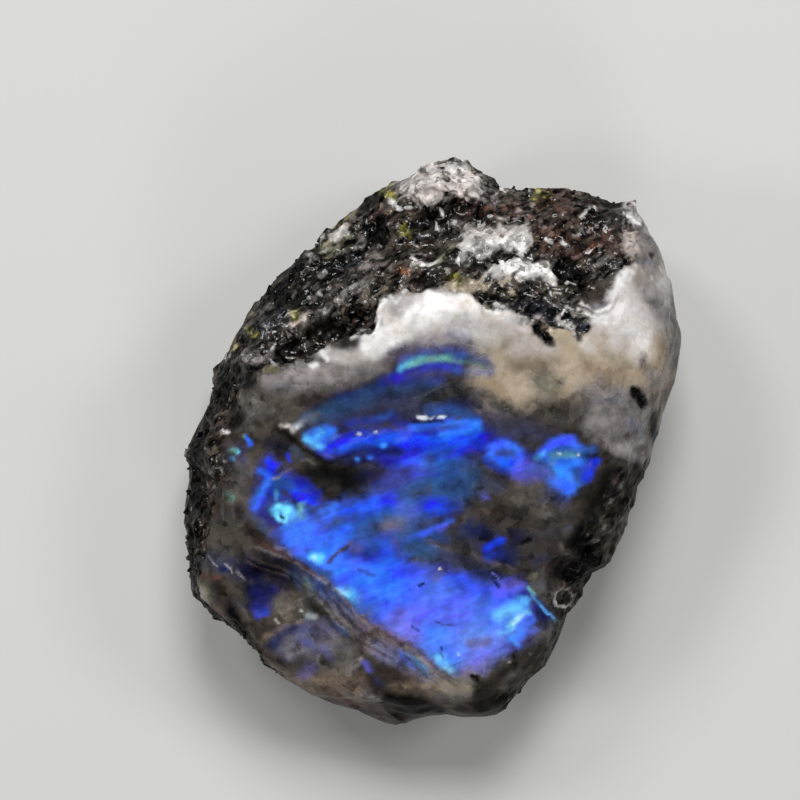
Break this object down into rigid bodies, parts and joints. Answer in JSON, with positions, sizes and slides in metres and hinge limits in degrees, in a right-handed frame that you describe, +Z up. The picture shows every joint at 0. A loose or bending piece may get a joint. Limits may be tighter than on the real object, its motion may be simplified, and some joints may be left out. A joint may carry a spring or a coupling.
{
  "type": "rough moonstone",
  "caption": "Rough moonstone lying on its flat back: grey feldspar with a crust of dark schist and a blue flash in its ground face.",
  "frame": {"origin": "centre of the bounding box's underside, on the resting face", "axes": "+Z up, out of the ground face; +Y along the stone's length, towards the crusted end with the knob; +X to the right as the ground face is looked down on"},
  "size_m": [0.02, 0.023, 0.0094],
  "materials": {
    "feldspar": "ground and wet-looking on the face, with a blue flash; rough and broken elsewhere",
    "schist_grains": "dark glossy grains of mica and amphibole standing out of the crust",
    "pale_grains": "pale glassy grains of feldspar and quartz in the crust"
  },
  "bodies": {
    "root": {"moonstone": "feldspar"}
  },
  "joints": []
}
